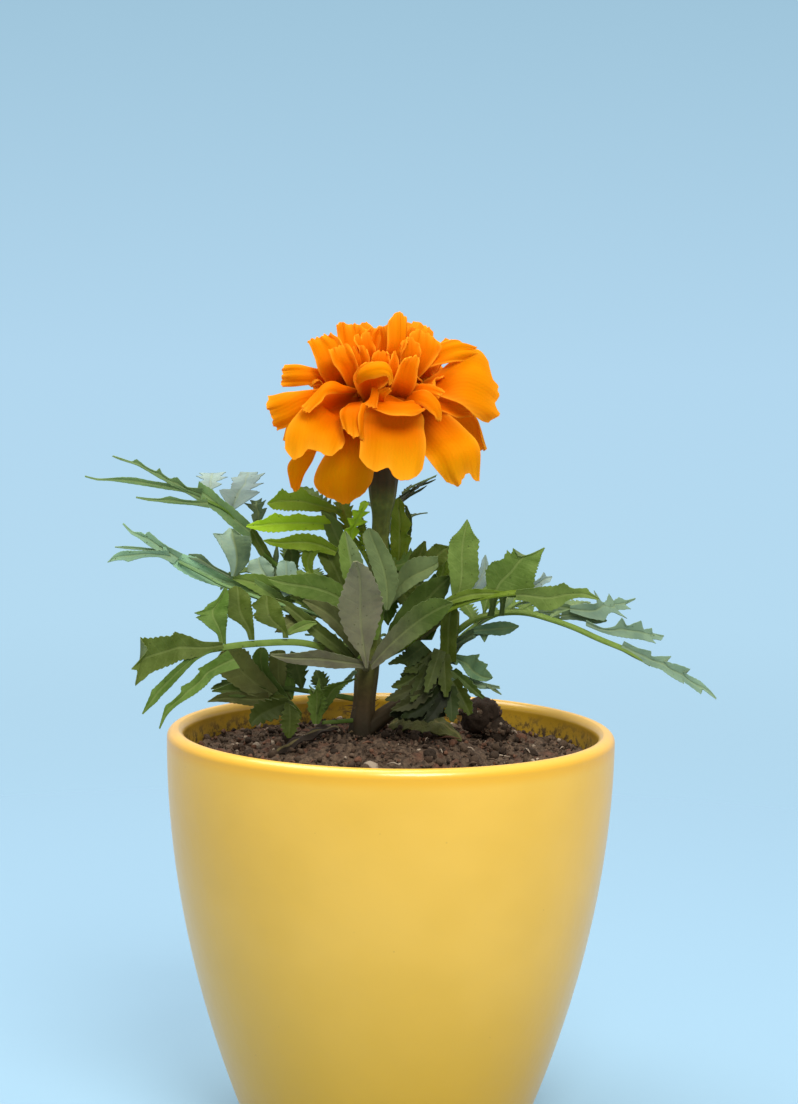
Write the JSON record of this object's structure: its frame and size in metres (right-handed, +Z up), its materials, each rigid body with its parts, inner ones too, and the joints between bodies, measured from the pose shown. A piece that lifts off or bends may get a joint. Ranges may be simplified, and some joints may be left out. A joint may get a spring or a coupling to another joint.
{
  "type": "potted marigold",
  "caption": "Small leafy marigold with one double orange bloom, rooted in compost in a round yellow glazed pot with a rolled rim.",
  "frame": {"origin": "centre of the pot's flat underside", "axes": "+Z up the plant, -Y towards the side that the flower and the front leaf face, +X to the right of that side"},
  "size_m": [0.1481, 0.1077, 0.1873],
  "materials": {
    "glaze": "glossy yellow glaze, soft highlights",
    "compost": "damp, dark, crumbly compost",
    "stem": "green stem, brown purple near the soil",
    "leaf": "satin leaf, paler blue green where it catches the light",
    "dry_leaf": "dull, dried leaf",
    "petal": "soft orange petal, darker in the folds"
  },
  "bodies": {
    "root": {"pot": "glaze", "soil": "compost", "stem": "stem", "flower_stalk": "stem", "bloom": "petal", "leaf_left_high": "leaf", "leaf_left_mid": "leaf", "leaf_left_low": "leaf", "leaf_left_under": "leaf", "leaf_upper_left": "leaf", "leaf_front_high": "leaf", "leaf_front": "leaf", "leaf_right_high": "leaf", "leaf_right_long": "leaf", "leaf_right_small": "leaf", "leaf_right_hanging": "leaf", "leaf_right_under": "leaf", "leaf_centre_right": "leaf", "leaf_back_high": "leaf", "leaf_basal": "leaf", "leaf_back_left": "leaf", "leaf_back_right": "leaf", "leaf_back": "leaf", "fallen_leaf": "dry_leaf", "dry_leaf": "dry_leaf"}
  },
  "joints": []
}
